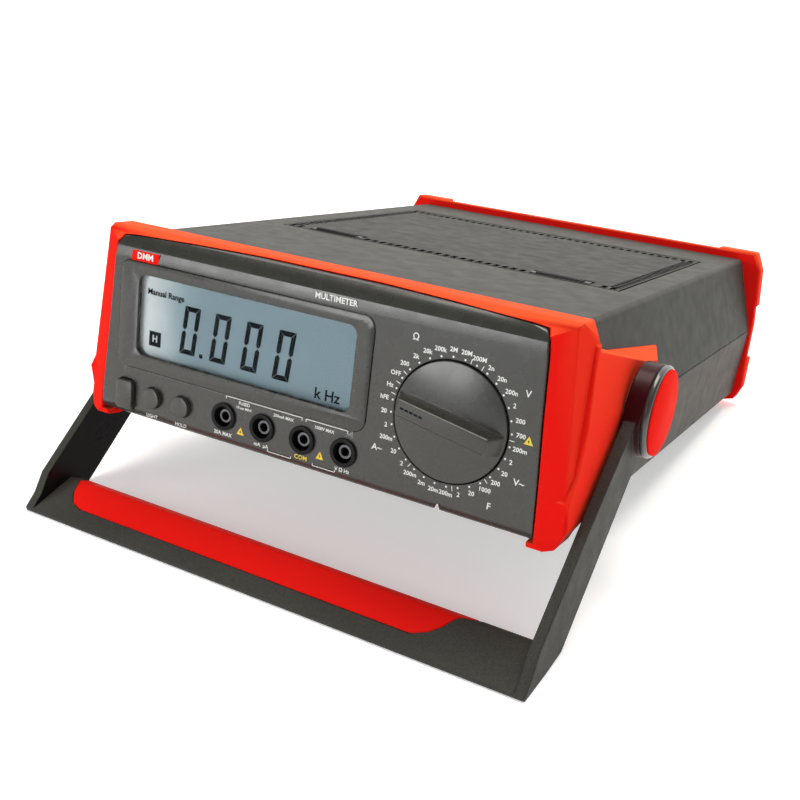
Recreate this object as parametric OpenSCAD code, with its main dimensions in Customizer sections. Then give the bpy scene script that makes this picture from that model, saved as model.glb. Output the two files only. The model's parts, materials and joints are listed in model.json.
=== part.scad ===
// Bench multimeter standing on its tilting carry handle.
//
// Every piece is laid out in the axes of the case: x to the right as one faces the
// front panel, y from the panel to the rear, z up, with the panel's lower edge at z = 0.
// posed() then leans the whole meter back, so that it stands on the handle's crossbar
// and its rear feet, centred on the origin with the table at z = 0.

/* [Case] */
// Width across the red front bezel
bezel_w = 240; // [239:1:242]
// Height of the case's top face above the panel's lower edge
case_top = 82; // [81:1:83]
// Depth from the front panel to the back of the rear bezel
case_d = 309; // [300:1:315]
// Width of the case across the line where its halves meet
case_w = 237.2; // [236:0.2:238]
// Width of the case's top face
top_w = 212.6; // [210:0.2:214]
// Width of the case near its floor
floor_w = 232; // [230:1:234]
// Height of the line where the case's halves meet
part_z = 41; // [40:1:42]
// Wall thickness of the case's halves
wall = 2.5; // [2.2:0.1:2.8]

/* [Front] */
// Depth of the red bezel along the top
bezel_d = 20; // [18:1:22]
// Height of the bezel's top face
bezel_top = 86; // [85.6:0.1:86.4]
// Thickness of the front panel
panel_t = 3; // [2.8:0.1:3.2]
// Width of the display frame
frame_w = 131.4; // [130:0.2:132]
// Height of the display frame
frame_h = 48.5; // [48:0.1:49]
// Width of the display's window
window_w = 112.8; // [111:0.2:114]
// Height of the display's window
window_h = 36.5; // [36:0.1:37]
// Distance between neighbouring input sockets
socket_pitch = 20.5; // [20:0.1:21]
// Radius of an input socket's contact bore
socket_bore_r = 2.02; // [2.0:0.01:2.05]
// Radius of the range knob
knob_r = 24.3; // [23.5:0.1:25]
// How far the knob's grip stands out of the panel
knob_h = 8.2; // [7.4:0.2:9]

/* [Handle] */
// Distance of the handle's pivot behind the panel
pivot_y = 71; // [70:1:73]
// Height of the handle's pivot
pivot_z = 43; // [42.5:0.5:44]
// Radius of the handle's round ends
hub_r = 20; // [19:0.5:20.5]
// Radius of the pivot studs
stud_r = 6; // [5.5:0.1:6.5]
// Width of the handle's arms
arm_w = 27; // [26:0.5:28]
// Thickness of the handle's arms
arm_t = 4.7; // [4.4:0.1:5]

/* [Storage] */
// Width of the lid on top
lid_w = 183.6; // [180:0.4:184]
// Distance of the lid's front edge behind the panel
lid_y = 112.6; // [112:0.1:114]
// Distance of the lid's hinge behind the panel
hinge_y = 257; // [255:0.5:257]
// Inside depth of the storage tray
tray_depth = 33; // [30:0.5:34]

/* [Hidden] */
$fn = 48;

bezel_half = bezel_w / 2;
side_half = case_w / 2;
top_half = top_w / 2;
floor_half = floor_w / 2;
floor_z = -1;
bezel_floor = -3.4;
panel_back = 9;
shell_y0 = 19;
shell_y1 = case_d - 7;
ear_d = 3;

// Handle crossbar: its section in case axes, from its lowest front edge.
bar_front = [-28.4, -47.8];
bar_face = [-29.2, -46];
bar_ridge = [-5.5, -36.5];
bar_back = [1.5, -38.6];
bar_under_l = 20;

// Feet, and the lean that sets crossbar and rear feet on one table.
foot_r = 9;
foot_z = -9;
front_foot = [94, 44];
rear_foot = [92, 284];
rest_y = rear_foot[1] + foot_r;
tilt = atan((foot_z - bar_front[1]) / (rest_y - bar_front[0]));
lift_z = bar_front[0] * sin(tilt) - bar_front[1] * cos(tilt);

// The widest points along the leaned meter: handle in front, rear bumpers behind.
ear_top = bezel_top + 1;
span_front = bar_face[0] * cos(tilt) + bar_face[1] * sin(tilt);
span_back = (case_d + ear_d) * cos(tilt) + ear_top * sin(tilt);
mid_y = (span_front + span_back) / 2;

// Colours
charcoal = [0.30, 0.30, 0.28];
dark_grey = [0.20, 0.20, 0.19];
red = [0.82, 0.07, 0.07];
black = [0.06, 0.06, 0.06];
steel = [0.72, 0.72, 0.74];
brass = [0.78, 0.62, 0.28];
board_green = [0.10, 0.35, 0.18];

// ---------------------------------------------------------------- placing helpers

module posed() {
    translate([0, -mid_y, lift_z]) rotate([-tilt, 0, 0]) children();
}

// A flat shape in x and z, swept from y0 to y1.
module along_y(y0, y1) {
    translate([0, y1, 0]) rotate([90, 0, 0]) linear_extrude(y1 - y0) children();
}

// A flat shape in y and z, swept from x0 to x1.
module along_x(x0, x1) {
    translate([x0, 0, 0]) rotate([90, 0, 90]) linear_extrude(x1 - x0) children();
}

module rod_x(y, z, x0, x1, r) {
    translate([x0, y, z]) rotate([0, 90, 0]) cylinder(h = x1 - x0, r = r);
}

module rod_y(x, z, y0, y1, r) {
    translate([x, y0, z]) rotate([-90, 0, 0]) cylinder(h = y1 - y0, r = r);
}

module rod_z(x, y, z0, z1, r) {
    translate([x, y, z0]) cylinder(h = z1 - z0, r = r);
}

module box(x0, x1, y0, y1, z0, z1) {
    translate([x0, y0, z0]) cube([x1 - x0, y1 - y0, z1 - z0]);
}

module both_sides() {
    children();
    mirror([1, 0, 0]) children();
}

// A rectangle with round corners, centred on [cx, cz].
module rounded(cx, cz, w, h, r) {
    translate([cx, cz]) {
        square([w - 2 * r, h], center = true);
        square([w, h - 2 * r], center = true);
        for (sx = [-1, 1], sz = [-1, 1])
            translate([sx * (w / 2 - r), sz * (h / 2 - r)]) circle(r);
    }
}

function mirrored(right) = concat(
    right, [for (i = [len(right) - 1:-1:0]) [-right[i][0], right[i][1]]]);

// ---------------------------------------------------------------- shared outlines

// Right half of the case's section, moved inwards by t.
function case_right(t) = [
    [floor_half - 3, floor_z + t],
    [floor_half - t, floor_z + 3 + 0.4 * t],
    [side_half - t, part_z],
    [top_half + 0.8 - t, case_top - 2 - 0.6 * t],
    [top_half - 1.2 - 0.6 * t, case_top - t]
];

module case_prism(t, y0, y1) {
    along_y(y0, y1) polygon(mirrored(case_right(t)));
}

// Right half of a red bezel's outline, moved outwards by t.
function bezel_right(t) = [
    [bezel_half - 10, bezel_floor - t],
    [bezel_half - 3 + t, bezel_floor + 2],
    [bezel_half + t, 6],
    [bezel_half + t, 45],
    [bezel_half - 1.5 + t, 62],
    [bezel_half - 2.8 + t, 77],
    [bezel_half - 7.2 + t, bezel_top + t]
];

// Right half of the front panel's outline, moved outwards by t. Its top edge is crowned.
function panel_right(t) = [
    [bezel_half - 11.2 + t, 0.4 - t],
    [bezel_half - 12.4 + t, 20],
    [bezel_half - 14.6 + t, 49],
    [bezel_half - 16 + t, 72],
    [bezel_half - 16.8 + t, 79],
    [bezel_half - 18.8 + t, 82.3 + t],
    [bezel_half - 26 + t, 82.9 + t],
    [60, 84 + t],
    [30, 84.6 + t]
];

// ---------------------------------------------------------------- case halves

post_x = 104;
post_ys = [44, 288];

module screw_posts(z0, z1, r) {
    for (y = post_ys) both_sides() rod_z(post_x, y, z0, z1, r);
}

battery_x0 = -96;
battery_x1 = 8;
battery_y0 = 44;
battery_y1 = 126;

module stud_clearance(r) {
    both_sides() rod_x(pivot_y, pivot_z, 90, bezel_half + 5, r);
}

module bottom_case() posed() color(charcoal) difference() {
    union() {
        difference() {
            intersection() {
                case_prism(0, shell_y0, shell_y1);
                box(-130, 130, 0, case_d, -10, part_z);
            }
            case_prism(wall, shell_y0 - 1, shell_y1 + 1);
        }
        screw_posts(floor_z + wall, part_z, 4.5);
    }
    screw_posts(floor_z - 1, part_z + 1, 1.9);
    screw_posts(floor_z - 1, floor_z + 4, 3.5);
    stud_clearance(7.8);
    box(battery_x0, battery_x1, battery_y0, battery_y1, floor_z - 1, floor_z + wall + 1);
    for (i = [0:9], side = [-1, 1])
        box(side * 55 - 25, side * 55 + 25, 205 + 6 * i, 208 + 6 * i, floor_z - 1, 4);
}

module top_case() posed() color(charcoal) difference() {
    union() {
        difference() {
            intersection() {
                case_prism(0, shell_y0, shell_y1);
                box(-130, 130, 0, case_d, part_z + 0.1, 100);
            }
            case_prism(wall, shell_y0 - 1, shell_y1 + 1);
        }
        for (y = post_ys) both_sides() rod_z(post_x - 8, y, part_z + 0.1, case_top - wall, 4.5);
        for (y = post_ys) both_sides()
            box(post_x - 10, post_x + 3.5, y - 3, y + 3, part_z + 0.1, part_z + 8);
        // Sockets for the lid's hinge pins.
        both_sides() box(lid_w / 2 + 0.8, lid_w / 2 + 6, hinge_y - 4, hinge_y + 6, 74, case_top - 1);
    }
    box(-lid_w / 2 - 0.5, lid_w / 2 + 0.5, lid_y - 0.6, hinge_y + 3.4, part_z + 20, case_top + 1);
    for (y = post_ys) both_sides() rod_z(post_x, y, part_z - 1, part_z + 7, 1.55);
    stud_clearance(7.8);
    both_sides() rod_x(hinge_y, case_top - 2.5, lid_w / 2, lid_w / 2 + 5, 1.2);
}

module case_screws() posed() color(steel) {
    for (y = post_ys) both_sides() {
        rod_z(post_x, y, floor_z + 1.2, floor_z + 3.9, 3.2);
        rod_z(post_x, y, floor_z + 3.9, part_z + 6, 1.5);
    }
}

module rubber_feet() posed() color(black) {
    for (p = [front_foot, rear_foot]) both_sides() difference() {
        rod_z(p[0], p[1], foot_z, floor_z, foot_r);
        rod_z(p[0], p[1], foot_z - 1, foot_z + 3, 3);
    }
}

// ---------------------------------------------------------------- bezels and panels

side_lean = 5;
pad_x0 = 109;
flare_x = 108;
flare_r = 28.5;
flare_rise = 31.7;
flare_end = 113;

// The pad beside the handle's pivot, seen from the side: it runs back from the collar
// and round behind the pivot, and narrows to the bezel's lower front corner.
module pad_side() {
    polygon(concat(
        [[bezel_d - 3, 77], [9.3, 27], [3.5, 18], [8, 0.5], [21.6, 2.8], [60, 16]],
        [for (a = [-80:20:80])
            [pivot_y + flare_r * cos(a), pivot_z + (a < 0 ? 20 : flare_r) * sin(a)]],
        [[45, 77]]
    ));
}

// Behind the pivot the pad runs out to the case as a wide cone, blunt at the rear.
module pad_flare() {
    intersection() {
        translate([flare_x, pivot_y, pivot_z]) rotate([0, 90, 0])
            cylinder(h = bezel_half - flare_x, r1 = flare_r + flare_rise, r2 = flare_r);
        along_x(flare_x, bezel_half) polygon([
            [pivot_y, pivot_z - 8], [pivot_y + 27, pivot_z - 7], [flare_end, pivot_z + 9],
            [flare_end, 75], [pivot_y, 75]
        ]);
    }
}

// Everything above a plane that slopes down by `outward` degrees along x
// and by `back` degrees along y, from a point on the pad's outer edge.
module above(y, z, outward, back) {
    translate([bezel_half, y, z]) rotate([-back, outward, 0])
        translate([-60, -120, 0]) cube([120, 240, 60]);
}

// The bezel's plan on the right: a front face sloped back from the panel, then its side.
module side_plan() {
    polygon([
        [-20, -0.4], [bezel_half - 15.5, -0.4], [bezel_half - 3.4, 5], [bezel_half, bezel_d],
        [bezel_half, 105], [-20, 105]
    ]);
}

module front_bezel() posed() color(red) difference() {
    intersection() {
        along_y(-2, 124) polygon(mirrored(bezel_right(0)));
        union() {
            both_sides() translate([0, 0, 30]) rotate([0, -side_lean, 0])
                translate([0, 0, -50]) linear_extrude(120) side_plan();
            both_sides() along_x(pad_x0, bezel_half) pad_side();
            both_sides() pad_flare();
        }
        along_x(-130, 130) polygon([
            [-2, 8], [-2, 76], [-0.8, 78.5], [5, 84.3], [9, bezel_top],
            [124, bezel_top], [124, -10], [8, -10], [8, bezel_floor], [2, -2.6]
        ]);
        union() {
            both_sides() along_x(pad_x0, 130) pad_side();
            both_sides() pad_flare();
            along_x(-130, 130) translate([-2, -10]) square([bezel_d + 2, 100]);
        }
    }
    // The pad's upper side has two faces: one falls gently to the rear, the other outwards.
    both_sides() intersection() {
        above(18.2, 74.9, 5.7, 12.6);
        above(95.5, 57.5, 38, 4.1);
        box(90, 130, bezel_d, 130, 40, 100);
    }
    along_y(-3, panel_back) polygon(mirrored(panel_right(0.4)));
    // Under the panel the bezel is set back and up, so that the panel's lower roll hides it.
    box(-bezel_half + 14, bezel_half - 14, -3, panel_back, -10, 4);
    box(-bezel_half + 14, bezel_half - 14, -3, 14, -10, floor_z + 0.2);
    case_prism(wall, panel_back - 0.1, shell_y0);
    case_prism(0, shell_y0 - 0.1, 130);
    both_sides() rod_x(pivot_y, pivot_z, 100, bezel_half + 5, stud_r + 0.2);
}

rear_open_w = 200;
rear_open_h = 62;

module rear_bezel() posed() color(red) difference() {
    union() {
        along_y(shell_y1, case_d) polygon(mirrored(bezel_right(0)));
        intersection() {
            along_y(shell_y1 + 1, case_d + ear_d) polygon(mirrored(bezel_right(1)));
            union() for (sx = [-1, 1], sz = [0, 1])
                box(sx * 107 - 15, sx * 107 + 15, 300, 320, sz * 64 - 8, sz * 64 + 24);
        }
    }
    along_y(shell_y1 - 1, case_d + 5) rounded(0, 41, rear_open_w, rear_open_h, 8);
}

knob_x = 68.8;
knob_z = 38.6;
knob_pocket = 2.7;
frame_x = -34;
frame_z = 48.45;
window_x = -32.6;
window_z = 49.2;
socket_z = 14;
socket_x0 = -38.2;
button_z = 12.6;
light_x = -78.3;
hold_x = -61.6;
power_x = -93.8;
power_z = 11;
board_y = 14;
post_points = [[-96, 74], [96, 74], [-98, 23], [40, 5.5]];

module at_sockets() {
    for (i = [0:3]) translate([socket_x0 + i * socket_pitch, 0, socket_z]) children();
}

module front_panel() posed() color(charcoal) difference() {
    union() {
        intersection() {
            along_y(-1, panel_back) polygon(mirrored(panel_right(0)));
            along_x(-120, 120) polygon([
                [0, 8], [0, 74], [0.5, 78], [1.8, 81], [4, 83.6], [6.5, 84.6], [9, 84.7],
                [9, 80], [6.5, 79.4], [4.2, 77], [panel_t, 74], [panel_t, 8],
                [4.5, 4.6], [9, 4], [9, 0], [4.5, 0.3], [1.2, 2.2], [0.2, 5]
            ]);
        }
        for (p = post_points) rod_y(p[0], p[1], 2, board_y, 3.2);
        rod_y(knob_x, knob_z, 2, knob_pocket + 2.6, knob_r + 3);
        rod_y(knob_x, knob_z, 2, 6.5, 8);
    }
    for (p = post_points) rod_y(p[0], p[1], 6, board_y + 1, 1.3);
    along_y(-2, 12) rounded(frame_x, frame_z, frame_w + 0.2, frame_h + 0.2, 5);
    at_sockets() rod_y(0, 0, -1, 12, 5.6);
    rod_y(light_x, button_z, -1, 12, 5.1);
    rod_y(hold_x, button_z, -1, 12, 5.1);
    along_y(-1, 12) rounded(power_x, power_z, 9.9, 14.4, 2);
    rod_y(knob_x, knob_z, -1, knob_pocket, knob_r + 0.5);
    rod_y(knob_x, knob_z, -1, 12, 5);
}

inlet_x = -78;
inlet_z = 34;
fuse_x = -38;
fuse_z = 30;
selector_x = -8;
selector_z = 30;
port_x = 34;
port_z = 28;
rear_y0 = shell_y1 - 3;

module rear_panel() posed() color(dark_grey) difference() {
    case_prism(wall + 0.1, rear_y0, shell_y1);
    box(inlet_x - 13.8, inlet_x + 13.8, 290, 310, inlet_z - 10, inlet_z + 10);
    rod_y(fuse_x, fuse_z, 290, 310, 6.6);
    box(selector_x - 8.2, selector_x + 8.2, 290, 310, selector_z - 5.2, selector_z + 5.2);
    box(port_x - 6.3, port_x + 6.3, 290, 310, port_z - 5.8, port_z + 5.8);
    for (i = [0:7]) box(50, 92, 290, 310, 20 + 5 * i, 22.4 + 5 * i);
}

// ---------------------------------------------------------------- storage

tray_w = 172;
tray_y0 = 126;
tray_y1 = 250;
tray_top = case_top - wall - 0.1;
tray_floor = tray_top - tray_depth;
lid_t = 2.3;
latch_x = 62;
pin_z = case_top - 2.5;

module storage_tray() posed() color(dark_grey) difference() {
    union() {
        box(-97, 97, 104, tray_y1 + 2, tray_top - 2, tray_top);
        box(-tray_w / 2 - 2, tray_w / 2 + 2, tray_y0 - 2, tray_y1 + 2, tray_floor - 2, tray_top);
    }
    box(-tray_w / 2, tray_w / 2, tray_y0, tray_y1, tray_floor, tray_top + 1);
    for (side = [-1, 1])
        box(side * latch_x - 14, side * latch_x + 14, 103, 135, tray_top - 4, tray_top + 1);
    for (side = [-1, 1])
        box(side * 96 - 3, side * 96 + 3, hinge_y - 7, hinge_y + 6, tray_top - 8, tray_top + 1);
}

module storage_lid() posed() color(charcoal) difference() {
    union() {
        box(-lid_w / 2, lid_w / 2, lid_y, hinge_y, case_top - lid_t, case_top);
        rod_x(hinge_y, pin_z, -lid_w / 2, lid_w / 2, 2.5);
        for (side = [-1, 1], rail = [-13, 11.2])
            box(side * latch_x + rail, side * latch_x + rail + 1.8, lid_y + 3, 128,
                case_top - 5, case_top - lid_t);
        for (side = [-1, 1])
            box(side * latch_x - 13, side * latch_x + 13, 131.2, 133,
            case_top - 5, case_top - lid_t);
    }
    box(-70, 70, hinge_y - 3, hinge_y + 3, pin_z - 3, pin_z - 0.2);
    both_sides() rod_x(hinge_y, pin_z, lid_w / 2 - 8, lid_w / 2 + 1, 1.24);
    for (side = [-1, 1])
        box(side * latch_x - 15.5, side * latch_x + 15.5, 114.4, 124, case_top - lid_t - 1, 90);
}

module hinge_pins() posed() color(steel) {
    both_sides() rod_x(hinge_y, pin_z, lid_w / 2 - 7.5, lid_w / 2 + 5, 1.2);
}

// A finger slide in the lid's front edge, with a tongue under it.
module latch(x) {
    box(x - 15, x + 15, 114.8, 119.6, case_top - lid_t - 0.1, case_top + 0.3);
    for (i = [0:2]) box(x - 12, x + 12, 115.6 + 1.3 * i, 116.2 + 1.3 * i, case_top, case_top + 0.8);
    box(x - 10.8, x + 10.8, lid_y + 0.3, 122, case_top - 4.8, case_top - lid_t - 0.1);
}

module latch_left() posed() color(dark_grey) latch(-latch_x);

module latch_right() posed() color(dark_grey) latch(latch_x);

module latch_springs() posed() color(steel) {
    for (side = [-1, 1]) translate([side * latch_x, 0, case_top - 3.6])
        for (i = [0:3]) difference() {
            rod_y(0, 0, 126.6 + 1.2 * i, 127.4 + 1.2 * i, 1.1);
            rod_y(0, 0, 126 + 1.2 * i, 128 + 1.2 * i, 0.6);
        }
}

// ---------------------------------------------------------------- display

lens_y = 1.6;
glass_y = lens_y + 1.4;
glass_back = glass_y + 2;

module lcd_frame() posed() color(dark_grey) difference() {
    along_y(-0.5, lens_y) rounded(frame_x, frame_z, frame_w, frame_h, 5);
    along_y(-1, 5) rounded(window_x, window_z, window_w, window_h, 4);
}

module lcd_window() posed() color([0.75, 0.82, 0.85, 0.4]) {
    along_y(lens_y, lens_y + 1.2) rounded(window_x, window_z, window_w + 4, window_h + 4, 2);
}

module lcd_glass() posed() color([0.66, 0.72, 0.76]) {
    along_y(glass_y, glass_back) rounded(window_x, window_z, window_w + 4, window_h + 4, 1);
}

module lcd_backlight() posed() color([0.9, 0.9, 0.85]) {
    along_y(glass_back, board_y) rounded(window_x, window_z, window_w + 2, window_h + 2, 1);
}

module display_board() posed() color(board_green) difference() {
    box(-101, 101, board_y, board_y + 1.6, 3, 78);
    for (p = post_points) rod_y(p[0], p[1], board_y - 1, board_y + 3, 1.5);
    at_sockets() rod_y(0, 0, board_y - 1, board_y + 3, 5.2);
    rod_y(knob_x, knob_z, board_y - 1, board_y + 3, 4);
}

module board_screws() posed() color(steel) {
    for (p = post_points) {
        rod_y(p[0], p[1], board_y - 7, board_y + 1.6, 1.25);
        rod_y(p[0], p[1], board_y + 1.6, board_y + 3.4, 2.6);
    }
}

// ---------------------------------------------------------------- inputs

module input_housings() posed() color(black) at_sockets() difference() {
    union() {
        rod_y(0, 0, -1.2, 0, 6.2);
        rod_y(0, 0, -0.1, 13, 5.5);
        rod_y(0, 0, 13, 24, 5.1);
    }
    rod_y(0, 0, -2, 20, 4.4);
    rod_y(0, 0, 19, 25, socket_bore_r + 1);
}

module input_contacts() posed() color(brass) at_sockets() difference() {
    union() {
        rod_y(0, 0, 1, 26, socket_bore_r + 0.95);
        rod_y(0, 0, 18, 20, 4.3);
    }
    rod_y(0, 0, 0, 23, socket_bore_r);
}

// ---------------------------------------------------------------- range switch

pointer_turn = 10.4;
disc_front = -0.6;
shaft_front = -knob_h + 2.6;

module range_knob() posed() color(charcoal) translate([knob_x, 0, knob_z]) difference() {
    union() {
        rod_y(0, 0, disc_front, knob_pocket - 0.3, knob_r);
        rotate([0, pointer_turn, 0]) intersection() {
            along_x(-knob_r, knob_r) polygon([
                [disc_front + 0.5, -4.4], [-knob_h + 0.8, -3.8], [-knob_h, -3],
                [-knob_h, 3], [-knob_h + 0.8, 3.8], [disc_front + 0.5, 4.4]
            ]);
            translate([0, -knob_h, 0]) rotate([-90, 0, 0])
                cylinder(h = knob_h + disc_front + 0.5, r1 = knob_r - 4.6, r2 = knob_r - 0.6);
        }
    }
    rod_y(0, 0, shaft_front, knob_pocket, 2.5);
    rotate([0, pointer_turn, 0])
        box(-knob_r + 6, -knob_r + 14, -knob_h - 1, -knob_h + 0.4, -0.5, 0.5);
}

module knob_shaft() posed() color(steel) translate([knob_x, 0, knob_z]) {
    rod_y(0, 0, shaft_front, 17, 2.5);
}

rotor_r = 19;

module switch_rotor() posed() color([0.85, 0.83, 0.78]) translate([knob_x, 0, knob_z]) difference() {
    union() {
        rod_y(0, 0, 7.2, 12.6, rotor_r);
        for (a = [0:120:240]) rotate([0, a, 0]) box(8, 16, 12.6, 13.5, -1, 1);
    }
    rod_y(0, 0, 6, 15, 2.5);
    for (side = [-1, 1]) rod_x(9.9, 0, side * 15.5 - 4.5, side * 15.5 + 4.5, 1.6);
}

module shaft_bush() posed() color(brass) translate([knob_x, 0, knob_z]) difference() {
    rod_y(0, 0, knob_pocket, 6.9, 5);
    rod_y(0, 0, 1, 8, 2.55);
}

module detent_ring() posed() color([0.85, 0.83, 0.78]) translate([knob_x, 0, knob_z]) difference() {
    rod_y(0, 0, 7.4, 12.4, 23);
    rod_y(0, 0, 7, 13, 20.4);
    for (a = [0:12:348]) rotate([0, a, 0]) rod_y(20.4, 0, 7, 13, 0.9);
}

module detent_balls() posed() color(steel) translate([knob_x, 9.9, knob_z]) {
    for (side = [-1, 1]) translate([side * 18.5, 0, 0]) sphere(1.5);
}

// ---------------------------------------------------------------- buttons

module round_button(x) {
    rod_y(x, button_z, -2.4, 4, 4.8);
    rod_y(x, button_z, 3.6, 5, 5.7);
    rod_y(x, button_z, 5, 7, 1.6);
}

module light_button() posed() color(charcoal) round_button(light_x);

module hold_button() posed() color(charcoal) round_button(hold_x);

module power_button() posed() color(charcoal) {
    along_y(-2.4, 5.6) rounded(power_x, power_z, 9.2, 13.7, 1.8);
    rod_y(power_x, power_z, 5.6, 8, 2);
}

module button_switches() posed() color(black) {
    for (x = [light_x, hold_x])
        box(x - 3.5, x + 3.5, 8.4, board_y, button_z - 3.5, button_z + 3.5);
    difference() {
        box(power_x - 4.5, power_x + 4.5, 6.4, board_y, power_z - 6, power_z + 6);
        rod_y(power_x, power_z, 6, 9, 2.3);
    }
}

// ---------------------------------------------------------------- tilting handle

arm_angle = 45.8;
arm_dir = [-cos(arm_angle), -sin(arm_angle)];
arm_side = [-sin(arm_angle), cos(arm_angle)];
arm_x0 = bezel_half + 1.3;
hub_x0 = bezel_half + 0.8;
hub_x1 = bezel_half + 8.8;
cap_x0 = hub_x1 + 2.8;
stud_end = bezel_half + 5.4;
grip_edge = [-20, -42.6];

// A point on an arm, t along it from the pivot and n towards its upper edge.
function on_arm(t, n) = [pivot_y, pivot_z] + t * arm_dir + n * arm_side;

bar_under = bar_front + bar_under_l * [cos(tilt), sin(tilt)];

module bar_section() {
    polygon([bar_front, bar_face, bar_ridge, bar_back, [1.5, -42.5], bar_under]);
}

module arm_section() {
    polygon([
        on_arm(0, arm_w / 2), on_arm(116, arm_w / 2), [-24, -40], bar_face, bar_front,
        bar_under, on_arm(106, -arm_w / 2), on_arm(0, -arm_w / 2)
    ]);
}

// The red grip's plan: its back edge is the longer, and its front corners are rounded.
module grip_plan(t) {
    polygon([[-116 - t, 3], [93 + t, 3], [93 + t, 1.5], [85 + t, -7], [82.5 + t, -12],
             [78.5 + t, -16.5], [72 + t, grip_edge[0] - t], [-101 - t, grip_edge[0] - t],
             [-107.5 - t, -17.5], [-112.5 - t, -12], [-116 - t, -4]]);
}

module bail_frame() posed() color(charcoal) difference() {
    union() {
        both_sides() along_x(arm_x0, arm_x0 + arm_t) arm_section();
        both_sides() rod_x(pivot_y, pivot_z, hub_x0, hub_x1, hub_r);
        along_x(-arm_x0 - 1, arm_x0 + 1) bar_section();
    }
    both_sides() rod_x(pivot_y, pivot_z, bezel_half - 5, hub_x1 + 1, stud_r + 0.05);
    both_sides() rod_x(pivot_y, pivot_z, stud_end - 0.2, hub_x1 + 1, 12);
    intersection() {
        translate([0, 0, -60]) linear_extrude(40) grip_plan(0.1);
        along_x(-120, 120) polygon([
            [3, -36], [-5, -34], [-25, -42], grip_edge, grip_edge + [0.5, -1.3],
            bar_ridge + [0.1, -1.7], [0.6, -40.2], [3, -40.2]
        ]);
    }
}

module bail_grip() posed() color(red) intersection() {
    translate([0, 0, -60]) linear_extrude(40) grip_plan(0);
    along_x(-120, 120) polygon([
        bar_back, bar_ridge, grip_edge, grip_edge + [0.5, -1.3],
        bar_ridge + [0.1, -1.7], [0.6, -40.2], [1.5, -40.2]
    ]);
}

module hub_discs() posed() color(charcoal) both_sides() {
    rod_x(pivot_y, pivot_z, hub_x1, cap_x0 - 1, hub_r);
    translate([cap_x0 - 1, pivot_y, pivot_z]) rotate([0, 90, 0])
        cylinder(h = 1, r1 = hub_r, r2 = hub_r - 1);
}

module hub_caps() posed() color(red) both_sides() {
    rod_x(pivot_y, pivot_z, cap_x0, cap_x0 + 0.6, hub_r - 1.5);
    translate([cap_x0 + 0.6, pivot_y, pivot_z]) rotate([0, 90, 0])
        cylinder(h = 0.4, r1 = hub_r - 1.5, r2 = hub_r - 2.3);
}

bracket_x = 107;

module pivot_studs() posed() color(steel) both_sides() difference() {
    union() {
        rod_x(pivot_y, pivot_z, bracket_x - 6, bracket_x + 3, 4);
        rod_x(pivot_y, pivot_z, bracket_x + 3, bracket_x + 5.5, 7.5);
        rod_x(pivot_y, pivot_z, bracket_x + 5.5, stud_end, stud_r);
    }
    rod_x(pivot_y, pivot_z, bezel_half - 4, stud_end + 1, 2.45);
}

module pivot_brackets() posed() color(steel) both_sides() difference() {
    union() {
        along_x(bracket_x, bracket_x + 3) polygon([
            [50, 2], [92, 2], [92, 20], [80, 54], [62, 54], [50, 20]
        ]);
        rod_x(pivot_y, pivot_z, bracket_x - 5, bracket_x, 8);
        box(bracket_x - 7, bracket_x + 3, 50, 92, floor_z + wall, floor_z + wall + 2.5);
    }
    rod_x(pivot_y, pivot_z, bracket_x - 8, bracket_x + 4, 4.03);
}

module friction_washers() posed() color([0.5, 0.42, 0.3]) both_sides() difference() {
    rod_x(pivot_y, pivot_z, bezel_half, bezel_half + 0.6, 17);
    rod_x(pivot_y, pivot_z, bezel_half - 1, bezel_half + 1, stud_r + 0.1);
}

module hub_washers() posed() color(steel) both_sides() difference() {
    rod_x(pivot_y, pivot_z, stud_end + 0.1, stud_end + 0.9, 11);
    rod_x(pivot_y, pivot_z, stud_end, stud_end + 1, 2.6);
}

module hub_screws() posed() color(steel) both_sides() {
    rod_x(pivot_y, pivot_z, bezel_half - 3.5, stud_end + 0.9, 2.4);
    rod_x(pivot_y, pivot_z, stud_end + 0.9, stud_end + 3, 4.6);
}

// ---------------------------------------------------------------- electronics

board_z = 9;
board_x0 = 14;
board_x1 = 97;
board_y0 = 34;
board_y1 = 190;
standoff_points = [[20, 40], [91, 100], [20, 184], [91, 184]];

module main_board() posed() color(board_green) difference() {
    box(board_x0, board_x1, board_y0, board_y1, board_z, board_z + 1.6);
    for (p = standoff_points) rod_z(p[0], p[1], board_z - 1, board_z + 3, 1.7);
}

module board_standoffs() posed() color(brass) {
    for (p = standoff_points) {
        rod_z(p[0], p[1], floor_z + wall, board_z, 3);
        rod_z(p[0], p[1], board_z, board_z + 1.6, 1.6);
        rod_z(p[0], p[1], board_z + 1.6, board_z + 3.2, 2.8);
    }
}

core_x = -62;
core_y = 232;

module transformer_core() posed() color(steel) difference() {
    box(core_x - 30, core_x + 30, core_y - 9, core_y + 9, 3, 43);
    for (side = [-1, 1])
        box(core_x + side * 14 - 6, core_x + side * 14 + 6, core_y - 10, core_y + 10, 11, 35);
}

module transformer_coil() posed() color([0.75, 0.55, 0.15]) difference() {
    box(core_x - 19.5, core_x + 19.5, core_y - 17, core_y + 17, 11.5, 34.5);
    box(core_x - 8.2, core_x + 8.2, core_y - 9.2, core_y + 9.2, 10, 36);
}

module filter_capacitors() posed() color([0.1, 0.12, 0.3]) {
    for (y = [140, 158]) rod_z(80, y, board_z + 1.6, 32, 7);
}

fuse_ys = [60, 78];

module input_fuses() posed() color([0.85, 0.85, 0.8]) {
    for (y = fuse_ys) rod_x(y, board_z + 8, 32, 62, 3);
}

module fuse_clips() posed() color(brass) {
    for (y = fuse_ys, x = [34, 56]) difference() {
        box(x, x + 4, y - 4.4, y + 4.4, board_z + 1.6, board_z + 9.5);
        rod_x(y, board_z + 8, x - 1, x + 5, 3.05);
        box(x - 1, x + 5, y - 2, y + 2, board_z + 8, board_z + 11);
    }
}

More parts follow.
